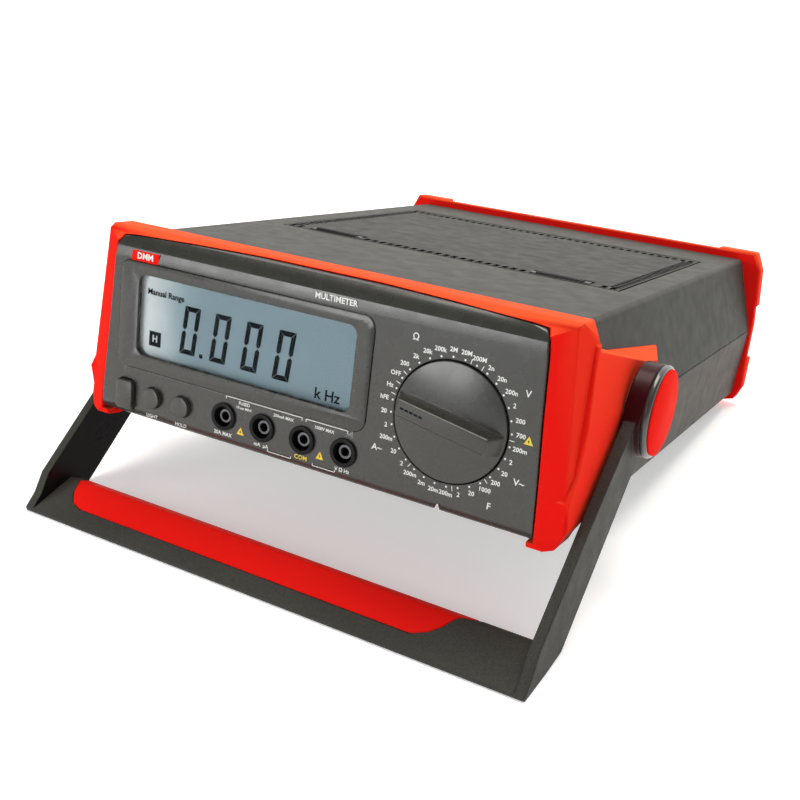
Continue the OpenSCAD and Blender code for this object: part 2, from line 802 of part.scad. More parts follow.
module buzzer() posed() color(black) difference() {
    rod_z(50, 110, board_z + 1.6, board_z + 11, 8);
    rod_z(50, 110, board_z + 8, board_z + 12, 1.2);
}

module battery_box() posed() color(dark_grey) difference() {
    box(battery_x0 - 2, battery_x1 + 2, battery_y0 - 2, battery_y1 + 2, 1.6, 34);
    box(battery_x0, battery_x1, battery_y0, battery_y1, 1, 32.5);
}

module battery_door() posed() color(charcoal) difference() {
    box(battery_x0 + 0.2, battery_x1 - 0.2, battery_y0 + 0.2, battery_y1 - 0.2, floor_z, 1.5);
    for (i = [-2:2]) box(-50 + i * 6, -48 + i * 6, 60, 106, floor_z - 1, floor_z + 0.6);
}

cell_r = 13;
cell_l = 47;
cell_z = 18;
cell_pitch = 26.6;
cell_rows = [for (row = [-1, 0, 1]) (battery_y0 + battery_y1) / 2 + row * cell_pitch];

module battery_cells() posed() color([0.75, 0.6, 0.2]) {
    for (y = cell_rows, x = [battery_x0 + 3, battery_x0 + 52.6]) {
        rod_x(y, cell_z, x, x + cell_l, cell_r);
        rod_x(y, cell_z, x + cell_l, x + cell_l + 1.6, 3);
    }
}

module battery_contacts() posed() color(steel) {
    for (y = cell_rows) {
        box(battery_x0, battery_x0 + 0.6, y - 8, y + 8, 8, 28);
        rod_x(y, cell_z, battery_x0 + 0.6, battery_x0 + 2.8, 4);
        box(battery_x1 - 0.6, battery_x1, y - 8, y + 8, 8, 28);
    }
}

// ---------------------------------------------------------------- rear connections

module mains_inlet() posed() color(black) difference() {
    union() {
        box(inlet_x - 13.5, inlet_x + 13.5, shell_y1 - 20, shell_y1, inlet_z - 9.8, inlet_z + 9.8);
        along_y(shell_y1, shell_y1 + 2.5) rounded(inlet_x, inlet_z, 44, 22.5, 4);
    }
    box(inlet_x - 12, inlet_x + 12, shell_y1 - 16, shell_y1 + 5, inlet_z - 8.2, inlet_z + 8.2);
    for (x = [-7, 0, 7])
        box(inlet_x + x - 1.1, inlet_x + x + 1.1, shell_y1 - 21, shell_y1 - 15,
            pin_zs(x) - 2.1, pin_zs(x) + 2.1);
}

// The earth pin sits below the other two.
function pin_zs(x) = x == 0 ? inlet_z - 4 : inlet_z - 1;

module inlet_pins() posed() color(steel) {
    for (x = [-7, 0, 7])
        box(inlet_x + x - 1, inlet_x + x + 1, shell_y1 - 28, shell_y1 - 4,
            pin_zs(x) - 2, pin_zs(x) + 2);
}

module fuse_holder() posed() color(black) {
    difference() {
        union() {
            rod_y(fuse_x, fuse_z, shell_y1 - 30, shell_y1, 6.4);
            rod_y(fuse_x, fuse_z, shell_y1, shell_y1 + 1.8, 8.5);
        }
        rod_y(fuse_x, fuse_z, shell_y1 - 28, shell_y1 + 3, 3);
    }
    difference() {
        rod_y(fuse_x, fuse_z, shell_y1 + 1.8, shell_y1 + 5, 6.2);
        box(fuse_x - 5, fuse_x + 5, shell_y1 + 4, shell_y1 + 6, fuse_z - 0.7, fuse_z + 0.7);
    }
}

module mains_fuse() posed() color([0.85, 0.85, 0.8]) {
    rod_y(fuse_x, fuse_z, shell_y1 - 24, shell_y1 - 4, 2.6);
}

module selector_body() posed() color(black) difference() {
    box(selector_x - 8, selector_x + 8, shell_y1 - 10, shell_y1 + 0.6,
        selector_z - 5, selector_z + 5);
    box(selector_x - 6.5, selector_x + 6.5, shell_y1 - 5, shell_y1 + 1,
        selector_z - 3.2, selector_z + 3.2);
}

module selector_slider() posed() color(red) {
    box(selector_x - 6.2, selector_x - 0.2, shell_y1 - 4.7, shell_y1 + 0.4,
        selector_z - 2.9, selector_z + 2.9);
}

module data_port() posed() color(steel) difference() {
    box(port_x - 6, port_x + 6, shell_y1 - 14, shell_y1 + 0.8, port_z - 5.5, port_z + 5.5);
    box(port_x - 4.3, port_x + 4.3, shell_y1 - 11, shell_y1 + 2, port_z - 4, port_z + 4);
}

// ---------------------------------------------------------------- output

bottom_case();
top_case();
front_bezel();
rear_bezel();
front_panel();
rear_panel();
storage_tray();
storage_lid();
hinge_pins();
latch_left();
latch_right();
latch_springs();
lcd_frame();
lcd_window();
lcd_glass();
lcd_backlight();
display_board();
board_screws();
input_housings();
input_contacts();
range_knob();
knob_shaft();
switch_rotor();
shaft_bush();
detent_ring();
detent_balls();
power_button();
light_button();
hold_button();
button_switches();
bail_frame();
bail_grip();
hub_discs();
hub_caps();
pivot_studs();
pivot_brackets();
friction_washers();
hub_washers();
hub_screws();
main_board();
board_standoffs();
transformer_core();
transformer_coil();
filter_capacitors();
input_fuses();
fuse_clips();
buzzer();
battery_box();
battery_door();
battery_cells();
battery_contacts();
mains_inlet();
inlet_pins();
fuse_holder();
mains_fuse();
selector_body();
selector_slider();
data_port();
case_screws();
rubber_feet();
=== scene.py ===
"""Looks of the bench multimeter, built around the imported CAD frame.

Shapes are written in the axes of the case, in millimetres: x to the right as one faces
the front panel, y from the panel to the rear, z up. CASE turns them into the frame.
"""
import json
import math

import bmesh
import bpy
from mathutils import Matrix, Vector


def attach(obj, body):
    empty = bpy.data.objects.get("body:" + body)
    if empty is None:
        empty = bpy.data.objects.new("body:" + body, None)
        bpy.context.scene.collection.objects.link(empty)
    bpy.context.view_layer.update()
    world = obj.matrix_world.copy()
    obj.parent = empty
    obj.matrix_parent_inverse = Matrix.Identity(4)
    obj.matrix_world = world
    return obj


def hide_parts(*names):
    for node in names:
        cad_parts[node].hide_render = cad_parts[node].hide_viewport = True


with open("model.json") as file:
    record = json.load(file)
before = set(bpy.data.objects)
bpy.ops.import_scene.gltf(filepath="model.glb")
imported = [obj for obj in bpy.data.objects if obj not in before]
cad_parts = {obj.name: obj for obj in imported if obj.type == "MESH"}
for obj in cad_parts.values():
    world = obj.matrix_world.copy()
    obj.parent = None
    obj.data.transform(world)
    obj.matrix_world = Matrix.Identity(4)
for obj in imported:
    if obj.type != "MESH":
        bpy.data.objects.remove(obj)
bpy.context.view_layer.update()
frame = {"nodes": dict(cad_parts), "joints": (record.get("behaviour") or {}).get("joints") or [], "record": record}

JOINTS = {joint["name"]: joint for joint in frame["joints"]}
SLOTS = {row["node"]: row["material_slot"] for row in frame["record"]["subparts"]}

# ------------------------------------------------------------------ case axes

# The case leans back about PIVOT, the middle of the handle's axis. The power button moves
# straight into the panel, so its axis tells how far.
MM = 0.001
PIVOT = Vector((0, 71, 43))
inward = Vector(JOINTS["power_push"]["axis"])
TILT = math.atan2(-inward.z, inward.y)
LEAN = Matrix.Rotation(-TILT, 4, "X")
pivot_world = Vector(JOINTS["handle_tilt"]["pos_m"])
CASE = Matrix.Translation(pivot_world - LEAN @ (PIVOT * MM)) @ LEAN @ Matrix.Scale(MM, 4)
TO_CASE = CASE.inverted()


def case_box(node):
    """Lowest and highest corner of a CAD node in case axes, in millimetres."""
    points = [TO_CASE @ vertex.co for vertex in frame["nodes"][node].data.vertices]
    low = Vector(min(p[i] for p in points) for i in range(3))
    high = Vector(max(p[i] for p in points) for i in range(3))
    return low, high


def body_of(node):
    for body, members in frame["record"]["behaviour"]["bodies"].items():
        if node in members:
            return body
    raise ValueError(node)


# ------------------------------------------------------------------ shader nodes

def tree_of(name):
    """A new material, its node tree and its main shader."""
    material = bpy.data.materials.new(name)
    material.use_nodes = True
    tree = material.node_tree
    return material, tree, tree.nodes["Principled BSDF"]


def feed(tree, target, source):
    """Joins a node's output to the input, or sets the input to a plain value."""
    if isinstance(source, bpy.types.NodeSocket):
        tree.links.new(source, target)
    else:
        target.default_value = source


def object_coords(tree, scale):
    coords = tree.nodes.new("ShaderNodeTexCoord")
    mapping = tree.nodes.new("ShaderNodeMapping")
    feed(tree, mapping.inputs["Scale"], (scale, scale, scale))
    feed(tree, mapping.inputs["Vector"], coords.outputs["Object"])
    return mapping.outputs["Vector"]


def noise(tree, vector, fineness, detail=2.0, rough=0.5):
    """Noise with about this many waves to the vector's unit."""
    texture = tree.nodes.new("ShaderNodeTexNoise")
    feed(tree, texture.inputs["Scale"], fineness)
    feed(tree, texture.inputs["Detail"], detail)
    feed(tree, texture.inputs["Roughness"], rough)
    feed(tree, texture.inputs["Vector"], vector)
    return texture.outputs["Fac"]


def ramp(tree, fac, stops):
    """A colour ramp; stops are (place, grey or colour)."""
    node = tree.nodes.new("ShaderNodeValToRGB")
    elements = node.color_ramp.elements
    while len(elements) < len(stops):
        elements.new(0.5)
    for element, (place, colour) in zip(elements, stops):
        element.position = place
        if isinstance(colour, (int, float)):
            colour = (colour, colour, colour)
        element.color = (*colour, 1.0)
    feed(tree, node.inputs["Fac"], fac)
    return node.outputs["Color"]


def varied(tree, fac, low, high):
    """Goes from low to high over the middle part of a noise's range."""
    return ramp(tree, fac, [(0.3, low), (0.7, high)])


def mixed(tree, factor, first, second, how="MIX"):
    mix = tree.nodes.new("ShaderNodeMix")
    mix.data_type = "RGBA"
    mix.blend_type = how
    feed(tree, mix.inputs["Factor"], factor)
    feed(tree, mix.inputs["A"], first)
    feed(tree, mix.inputs["B"], second)
    return mix.outputs["Result"]


def along(tree, vector, axis, start, end, low=0.0, high=1.0):
    """A value that goes from low to high between two places on one axis of the vector."""
    split = tree.nodes.new("ShaderNodeSeparateXYZ")
    feed(tree, split.inputs["Vector"], vector)
    span = tree.nodes.new("ShaderNodeMapRange")
    feed(tree, span.inputs["From Min"], start)
    feed(tree, span.inputs["From Max"], end)
    feed(tree, span.inputs["To Min"], low)
    feed(tree, span.inputs["To Max"], high)
    feed(tree, span.inputs["Value"], split.outputs[axis])
    return span.outputs["Result"]


def bumped(tree, shader, height, strength, depth):
    """Roughens the surface; depth is in millimetres."""
    bump = tree.nodes.new("ShaderNodeBump")
    feed(tree, bump.inputs["Strength"], strength)
    feed(tree, bump.inputs["Distance"], depth * MM)
    feed(tree, bump.inputs["Height"], height)
    feed(tree, shader.inputs["Normal"], bump.outputs["Normal"])


# ------------------------------------------------------------------ materials

# How fine the unevenness of the surfaces is, in waves to the millimetre.
COLOUR_DRIFT = 0.02
GLOSS_PATCHES = 0.12
SCUFFS = 0.15
TARNISH = 0.6
BRUSHING = 3.0
SMEARS = 0.08
GLOW_DRIFT = 0.05
FROSTING = 0.4

# WARM is the warm bloom of soft-touch red. The orange after it is a painted highlight on the red's upper faces,
# standing for the light that falls on them. The direction after that is where a surface gets the most of that
# painted highlight.
WARM = (1.0, 0.25, 0.10)
RED_TOP_HIGHLIGHT = (0.80, 0.085, 0.028)
HIGHLIGHT_FROM = Vector((0.30, 0.0, 0.95))

# The display is lit over LIT_WIDTH from its left end. LIT_COLOURS run from there rightwards.
LIT_WIDTH = 40
LIT_DRIFT = 0.3
LIT_COLOURS = [(0.12, (0.80, 0.83, 0.83)), (0.75, (0.27, 0.36, 0.40)),
               (1.0, (0.21, 0.29, 0.33))]


def shade(colour, factor):
    return tuple(channel * factor for channel in colour)


def paint_top_highlight(tree, skin, top_highlight):
    """The skin colour with a painted highlight: it turns to the given colour where the surface faces up and a
    little to the right, towards the light.
    """
    coords = tree.nodes.new("ShaderNodeTexCoord")
    facing = tree.nodes.new("ShaderNodeVectorMath")
    facing.operation = "DOT_PRODUCT"
    feed(tree, facing.inputs[0], coords.outputs["Normal"])
    feed(tree, facing.inputs[1], HIGHLIGHT_FROM)
    highlight_share = ramp(tree, facing.outputs["Value"], [(0.30, 0.0), (0.9, 1.0)])
    return mixed(tree, highlight_share, skin, (*top_highlight, 1.0))


def moulded(name, colour, rough=0.5, grain=0.35, depth=0.03, spread=0.08, wear=0.12,
            ior=1.45, sheen=0.0, top_highlight=None):
    """Moulded plastic: fine grain, slow colour drift, uneven gloss and faint pale scuffs.

    grain is the size of the surface texture in millimetres, and depth how deep it is.
    spread is how much the colour varies, and wear how far the scuffs cover it. sheen adds
    the warm bloom that soft-touch red plastic has when seen along its face. The last argument
    is the colour of a painted highlight on the upper faces, for the light that falls on them.
    """
    material, tree, shader = tree_of(name)
    vector = object_coords(tree, 1 / MM)
    drift = noise(tree, vector, COLOUR_DRIFT)
    fine = noise(tree, vector, 1 / grain, 3.0, 0.6)
    scuffs = noise(tree, vector, SCUFFS, 6.0, 0.8)
    gloss = noise(tree, vector, GLOSS_PATCHES, 4.0)
    sway = spread * 0.3
    drifted = varied(tree, drift, shade(colour, 1 - sway), shade(colour, 1 + sway))
    speckled = mixed(tree, 1.0, drifted, varied(tree, fine, 1 - spread, 1.0), "MULTIPLY")
    worn = ramp(tree, scuffs, [(0.66, 0.0), (0.8, wear)])
    pale = [min(1.0, channel * 1.8 + 0.02) for channel in colour]
    skin = mixed(tree, worn, speckled, (*pale, 1.0))
    # Painted highlight on the upper faces, for the light that falls on them.
    if top_highlight:
        skin = paint_top_highlight(tree, skin, top_highlight)
    feed(tree, shader.inputs["Base Color"], skin)
    feed(tree, shader.inputs["Roughness"], varied(tree, gloss, rough - 0.05, rough + 0.06))
    feed(tree, shader.inputs["IOR"], ior)
    feed(tree, shader.inputs["Sheen Weight"], sheen)
    feed(tree, shader.inputs["Sheen Tint"], (*WARM, 1.0))
    bumped(tree, shader, fine, 0.6, depth)
    return material


def metal(name, colour, rough=0.3):
    """Plated metal with faint brushing and dull patches."""
    material, tree, shader = tree_of(name)
    vector = object_coords(tree, 1 / MM)
    patch = noise(tree, vector, TARNISH, 4.0)
    tarnished = varied(tree, patch, shade(colour, 0.85), shade(colour, 1.1))
    feed(tree, shader.inputs["Base Color"], tarnished)
    feed(tree, shader.inputs["Roughness"], varied(tree, patch, rough, rough + 0.15))
    feed(tree, shader.inputs["Metallic"], 1.0)
    bumped(tree, shader, noise(tree, vector, BRUSHING), 0.3, 0.01)
    return material


def clear(name, colour, rough, ior=1.45):
    """Clear plastic or glass, with smears so faint that only its highlights show them."""
    material, tree, shader = tree_of(name)
    smears = noise(tree, object_coords(tree, 1 / MM), SMEARS, 3.0)
    feed(tree, shader.inputs["Base Color"], (*colour, 1.0))
    feed(tree, shader.inputs["Roughness"], varied(tree, smears, rough, rough + 0.01))
    feed(tree, shader.inputs["Transmission Weight"], 1.0)
    feed(tree, shader.inputs["IOR"], ior)
    return material


def display_face():
    """The display's grey-blue glass, brighter towards its lit left end."""
    material, tree, shader = tree_of("lit display glass")
    vector = object_coords(tree, 1 / MM)
    left = case_box("lcd_glass")[0].x
    shift = tree.nodes.new("ShaderNodeMath")
    shift.operation = "MULTIPLY_ADD"
    feed(tree, shift.inputs[0], noise(tree, vector, GLOW_DRIFT))
    feed(tree, shift.inputs[1], LIT_DRIFT)
    feed(tree, shift.inputs[2], along(tree, vector, "X", left, left + LIT_WIDTH))
    lit = ramp(tree, shift.outputs["Value"], LIT_COLOURS)
    frosting = noise(tree, vector, FROSTING)
    feed(tree, shader.inputs["Base Color"], lit)
    feed(tree, shader.inputs["Roughness"], varied(tree, frosting, 0.35, 0.45))
    feed(tree, shader.inputs["IOR"], 1.2)
    return material


CHARCOAL = (0.057, 0.058, 0.052)
COOL_GREY = (0.056, 0.064, 0.058)
# The lower case's grey, painted lighter than the charcoal to stand for light thrown up from the pale floor.
BOUNCE_LIT_GREY = (0.073, 0.067, 0.060)
PANEL_GREY = (0.034, 0.035, 0.031)
BLACK = (0.008, 0.008, 0.008)
RED = (0.80, 0.010, 0.008)
COARSE = {"rough": 0.5, "grain": 0.8, "depth": 0.12, "spread": 0.35, "wear": 0.1, "ior": 1.15}
POLISHED = {"rough": 0.3, "grain": 0.5, "depth": 0.004, "spread": 0.05, "wear": 0.0, "ior": 1.2}

MATERIALS = {
    "charcoal_plastic": moulded("charcoal moulding", CHARCOAL, **COARSE),
    "control_plastic": moulded("control moulding", PANEL_GREY, rough=0.34, grain=0.4, depth=0.01,
                               spread=0.06, wear=0.1),
    "dark_plastic": moulded("dark moulding", (0.04, 0.041, 0.039), rough=0.5, grain=0.4,
                            depth=0.03),
    # The red moulding gets an orange painted highlight on its upper faces.
    "red_plastic": moulded("red moulding", RED, rough=0.36, grain=0.5, depth=0.01, spread=0.04,
                           wear=0.05, ior=1.02, sheen=0.22, top_highlight=RED_TOP_HIGHLIGHT),
    "red_rubber": moulded("red grip", RED, rough=0.4, grain=0.5, depth=0.02, spread=0.05,
                          wear=0.05, ior=1.04, sheen=0.15),
    "black_plastic": moulded("black moulding", BLACK, rough=0.35, grain=0.3, depth=0.01),
    "black_rubber": moulded("black rubber", (0.02, 0.02, 0.02), rough=0.75, grain=0.4,
                            depth=0.03),
    "ivory_plastic": moulded("ivory moulding", (0.6, 0.57, 0.48), rough=0.45, grain=0.4,
                             depth=0.02),
    "lcd_lens": clear("display lens", (0.97, 0.99, 1.0), rough=0.0, ior=1.12),
    "lcd_face": moulded("display glass", (0.30, 0.38, 0.42), rough=0.4, grain=0.5, depth=0.004,
                        spread=0.04, wear=0.0),
    "steel": metal("plated steel", (0.55, 0.55, 0.57), rough=0.3),
    "brass": metal("plated brass", (0.75, 0.58, 0.28), rough=0.25),
    "copper": metal("enamelled copper", (0.65, 0.33, 0.14), rough=0.35),
    "fibre": moulded("pressed fibre", (0.3, 0.2, 0.1), rough=0.8, grain=0.5, depth=0.05),
    "circuit_board": moulded("solder mask", (0.02, 0.12, 0.05), rough=0.35, grain=0.6,
                             depth=0.01),
    "capacitor_sleeve": moulded("sleeve", (0.02, 0.03, 0.12), rough=0.3, grain=0.6, depth=0.01),
    "fuse_glass": clear("fuse tube", (0.9, 0.92, 0.88), rough=0.05),
    "cell_jacket": moulded("cell jacket", (0.5, 0.35, 0.06), rough=0.35, grain=0.6, depth=0.01),
}
PANEL = moulded("panel moulding", PANEL_GREY, rough=0.27, grain=0.4, depth=0.006, spread=0.05,
                wear=0.0, ior=1.5)
# Polished black for the black latches and socket housings, also used as painted shade on the arms' inner sides and
# in the lid's groove.
BLACK_AND_PAINTED_SHADE = moulded("polished dark", BLACK, **POLISHED)
# Near-black with a red tint for the rims of the arms' round ends: painted shade with a painted reflection of the
# red bezel.
BOSS_PAINTED_SHADE = moulded("polished boss", (0.035, 0.004, 0.006), **POLISHED)

# The look of every node. Some look unlike the rest of their material.
LOOKS = {node: MATERIALS[SLOTS[node]] for node in frame["nodes"]}
for node in ("front_panel", "lcd_frame", "range_knob", "power_button", "light_button",
             "hold_button"):
    LOOKS[node] = PANEL
for node in ("latch_left", "latch_right", "input_housings"):
    LOOKS[node] = BLACK_AND_PAINTED_SHADE
LOOKS["storage_lid"] = moulded("lid moulding", shade(CHARCOAL, 0.76), **COARSE | {"spread": 0.4})
# Painted light on the upper case: its grey is darkened to paint shade on the sides, and its upper faces get a
# lighter painted highlight.
LOOKS["top_case"] = moulded("upper moulding", shade(COOL_GREY, 0.58), **COARSE, top_highlight=CHARCOAL)
# Painted light: the lower case is painted lighter, for the light thrown up onto it from the floor.
LOOKS["bottom_case"] = moulded("lower moulding", BOUNCE_LIT_GREY, **COARSE)
LOOKS["hub_discs"] = moulded("hub rim", (0.05, 0.058, 0.056), rough=0.2, grain=0.4, depth=0.01,
                             spread=0.06, wear=0.1, ior=1.6)
LOOKS["hub_caps"] = moulded("cap moulding", RED, rough=0.4, grain=0.5, depth=0.01, spread=0.04,
                            wear=0.05, ior=1.02, sheen=0.08)
LOOKS["input_contacts"] = metal("worn nickel", (0.14, 0.14, 0.15), rough=0.5)
LOOKS["lcd_glass"] = display_face()
for node, cad_object in frame["nodes"].items():
    cad_object.data.materials.clear()
    cad_object.data.materials.append(LOOKS[node])


# ------------------------------------------------------------------ building pieces

# Corners nearer than WELD, in metres, are joined. Edges turned more than SHARP_ANGLE degrees
# stay sharp, and those turned less than NEARLY_FLAT are needless.
WELD = 2e-6
SHARP_ANGLE = 31
NEARLY_FLAT = 0.6


def add_object(name, data):
    """A new object, placed in the scene."""
    thing = bpy.data.objects.new(name, data)
    bpy.context.scene.collection.objects.link(thing)
    return thing


def mesh_of(shape, name, material):
    """The bmesh as a mesh; the bmesh is used up."""
    mesh = bpy.data.meshes.new(name)
    shape.to_mesh(mesh)
    shape.free()
    mesh.materials.append(material)
    return mesh


def case_mesh(shape, name, material):
    """A mesh in the frame from a bmesh that was drawn in case axes."""
    bmesh.ops.recalc_face_normals(shape, faces=shape.faces)
    mesh = mesh_of(shape, name, material)
    mesh.transform(CASE)
    return mesh


def welded_copy(node):
    """The CAD node's surface as a bmesh, its triangles joined at their corners."""
    shape = bmesh.new()
    shape.from_mesh(frame["nodes"][node].data)
    bmesh.ops.remove_doubles(shape, verts=shape.verts, dist=WELD)
    return shape


def shade_by_angle(shape):
    """Smooth shading that keeps the sharp edges."""
    for face in shape.faces:
        face.smooth = True
    for edge in shape.edges:
        edge.smooth = edge.calc_face_angle(math.pi) < math.radians(SHARP_ANGLE)


def join_rings(shape, near, far):
    """The band of faces between two rings of corners; either ring may be a single point."""
    count = max(len(near), len(far))
    for i in range(count):
        j = (i + 1) % count
        if len(near) == 1:
            shape.faces.new((near[0], far[i], far[j]))
        elif len(far) == 1:
            shape.faces.new((near[j], near[i], far[0]))
        else:
            shape.faces.new((near[j], near[i], far[i], far[j]))


def shaped_piece(shape, node, material):
    """A piece, drawn as a bmesh in the frame, that stands for the CAD node and hides it."""
    name = node + ".shaped"
    piece = add_object(name, mesh_of(shape, name, material))
    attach(piece, body_of(node))
    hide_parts(node)
    return piece


def soften(node, width, least_angle=30, least_length=0.0, flat_faced=False):
    """The CAD node with its edges rounded, as its moulding has them.

    Only edges turned more than least_angle degrees and longer than least_length mm are
    rounded. A node with no least length is first cleared of needless edges. flat_faced
    keeps the wide faces evenly lit right up to their edges.
    """
    shape = welded_copy(node)
    if not least_length:
        bmesh.ops.dissolve_limit(shape, angle_limit=math.radians(NEARLY_FLAT),
                                 verts=shape.verts, edges=shape.edges)
    shade_by_angle(shape)
    weight = shape.edges.layers.float.new("bevel_weight_edge")
    for edge in shape.edges:
        turn = math.degrees(edge.calc_face_angle(0.0))
        if turn > least_angle and edge.calc_length() > least_length * MM:
            edge[weight] = 1.0
            edge.smooth = True
    piece = shaped_piece(shape, node, LOOKS[node])
    bevel = piece.modifiers.new("edges", "BEVEL")
    bevel.width = width * MM
    bevel.segments = 2
    bevel.limit_method = "WEIGHT"
    bevel.use_clamp_overlap = False
    bevel.harden_normals = True
    if flat_faced:
        flats = piece.modifiers.new("flat faces", "WEIGHTED_NORMAL")
        flats.keep_sharp = True
    return piece


# ------------------------------------------------------------------ rounded mouldings

# How wide the rounding of each part's edges is, in millimetres.
LARGE_PARTS = {
    "bottom_case": 0.8, "top_case": 0.8, "front_bezel": 0.8, "rear_bezel": 0.8,
    "bail_frame": 0.8, "front_panel": 0.5,
}
SMALL_PARTS = {
    "rear_panel": 0.3, "storage_tray": 0.5, "latch_left": 0.2, "latch_right": 0.2,
    "lcd_frame": 0.4, "input_housings": 0.25, "power_button": 0.4, "light_button": 0.3,
    "hold_button": 0.3, "bail_grip": 0.5, "hub_discs": 0.5, "hub_caps": 0.25,
    "rubber_feet": 0.8, "mains_inlet": 0.4, "fuse_holder": 0.3, "selector_body": 0.25,
    "selector_slider": 0.2, "data_port": 0.2, "battery_door": 0.3,
}
# The arms lie further out than ARM_INSIDE. Their faces between the two rim distances from
# the pivot are the rims of the round ends. Faces turned inwards by more than FACES_INWARD
# are the inner sides.
hub_low, hub_high = case_box("hub_discs")
HUB_R = (hub_high.z - hub_low.z) / 2
RIM_INNER = HUB_R - 0.3
RIM_OUTER = HUB_R + 0.1
ARM_INSIDE = 120
FACES_INWARD = 0.7


def paint_arm_shade(piece):
    """Painted shade on the arms. The rims of their round ends are polished and get a near-black
    red-tinted colour, painted shade with a painted reflection of the red bezel; their inner
    sides are painted black as shade.
    """
    piece.data.materials.append(BOSS_PAINTED_SHADE)
    piece.data.materials.append(BLACK_AND_PAINTED_SHADE)
    for face in piece.data.polygons:
        middle = TO_CASE @ face.center
        if abs(middle.x) < ARM_INSIDE:
            continue
        reach = math.hypot(middle.y - PIVOT.y, middle.z - PIVOT.z)
        inwards = -face.normal.x * math.copysign(1, middle.x)
        if RIM_INNER < reach < RIM_OUTER:
            face.material_index = 1
        elif inwards > FACES_INWARD:
            face.material_index = 2


for node, width in LARGE_PARTS.items():
    piece = soften(node, width, least_angle=50, least_length=1.5, flat_faced=True)
    # The bail frame's arms get painted shade on their round ends and inner sides.
    if node == "bail_frame":
        paint_arm_shade(piece)
for node, width in SMALL_PARTS.items():
    soften(node, width)

# ------------------------------------------------------------------ flat marks and lettering

LETTER_THICK = 0.06
FONT_OVER_CAPITALS = 1.38
INK_FRONT = -0.05
INK_BACK = 0.05


def finish_marks(shape, name, node, material):
    """Turns a bmesh drawn in case axes into a piece that rides with the CAD node's body."""
    piece = add_object(name, case_mesh(shape, name, material))
    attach(piece, body_of(node))
    return piece


def slab(shape, outline, front, back):
    """A flat shape in x and z with thickness, from y = front to y = back."""
    near = [shape.verts.new((x, front, z)) for x, z in outline]
    far = [shape.verts.new((x, back, z)) for x, z in outline]
    shape.faces.new(near)
    shape.faces.new(list(reversed(far)))
    join_rings(shape, near, far)


def printed(shape, outline):
    """A flat shape printed on the panel, whose face is at y = 0."""
    slab(shape, outline, INK_FRONT, INK_BACK)


def placed(outline, centre):
    return [(centre[0] + x, centre[1] + z) for x, z in outline]


def turned(outline, degrees, centre):
    angle = math.radians(degrees)
    cos, sin = math.cos(angle), math.sin(angle)
    return placed([(x * cos - z * sin, x * sin + z * cos) for x, z in outline], centre)


def direction(degrees):
    """The unit vector in x and z that lies this far anticlockwise from the right."""
    angle = math.radians(degrees)
    return Vector((math.cos(angle), math.sin(angle)))


def rectangle(width, height):
    x, z = width / 2, height / 2
    return [(-x, -z), (x, -z), (x, z), (-x, z)]


def disc(radius, count=14):
    return [tuple(direction(360 * i / count) * radius) for i in range(count)]


def letters(shape, text, centre, height, front=INK_FRONT, weight=0.0):
    """Raised lettering in x and z about a centre; height is that of its capitals."""
    curve = bpy.data.curves.new("lettering", "FONT")
    curve.body = text
    curve.align_x = "CENTER"
    curve.align_y = "CENTER"
    curve.size = height * FONT_OVER_CAPITALS
    curve.offset = weight
    curve.extrude = LETTER_THICK / 2
    curve.resolution_u = 2
    holder = add_object("lettering", curve)
    bpy.context.view_layer.update()
    mesh = bpy.data.meshes.new_from_object(holder)
    upright = Matrix.Rotation(math.radians(90), 4, "X")
    mesh.transform(Matrix.Translation((centre[0], front, centre[1])) @ upright)
    shape.from_mesh(mesh)
    bpy.data.objects.remove(holder)
    bpy.data.curves.remove(curve)
    bpy.data.meshes.remove(mesh)


def ink(name, colour, ior=1.45):
    return moulded(name, colour, rough=0.5, grain=0.2, depth=0.004, spread=0.06, wear=0.0,
                   ior=ior)


WHITE_INK = ink("white print", (0.78, 0.80, 0.78))
YELLOW_INK = ink("yellow print", (0.78, 0.58, 0.03))
BLACK_INK = ink("black print", (0.006, 0.008, 0.010), ior=1.05)

# ------------------------------------------------------------------ print round the knob

knob_low, knob_high = case_box("range_knob")
KNOB = Vector(((knob_low.x + knob_high.x) / 2, (knob_low.z + knob_high.z) / 2))
KNOB_R = (knob_high.x - knob_low.x) / 2

# The range knob's stops, in degrees anticlockwise from the right, each with its marking.
DIAL_STEP = 11.25
DIAL_FIRST = 162.0
DIAL_MARKS = [
    "Hz", "OFF", "200", "2k", "20k", "200k", "2M", "20M", "200M", "2n", "20n", "200n", "2",
    "200", "700", "200m", "2", "20", "200", "1000", "20", "2", "200m", "20m", "2m", "200m",
    "2", "20", "200m", "2", "20", "hFE",
]
# Short lines part the groups of ranges; each place is counted in stops.
DIAL_DIVIDERS = [0.5, 1.5, 7.5, 8.5, 14.5, 18.5, 21.5, 25.5, 31.5]
# Unit signs outside the numerals, each with its direction from the knob's centre.
DIAL_UNITS = [(122, "Ω"), (32, "V"), (-27, "V~"), (-54, "F"), (-91, "A"), (211, "A~")]

DOT_R = 0.42
DOT_RING = KNOB_R + 1.7
DIVIDER_RING = DOT_RING + 0.4
DIVIDER_LONG = 2.0
DIVIDER_WIDE = 0.3
NUMERAL_HEIGHT = 1.9
NUMERAL_RISE = 2.8
NUMERAL_GAP = 2.1
CHARACTER_ROOM = 0.558
UNIT_RING = KNOB_R + 11.2
UNIT_HEIGHT = 2.8


def dial_angle(stop):
    return DIAL_FIRST - DIAL_STEP * stop


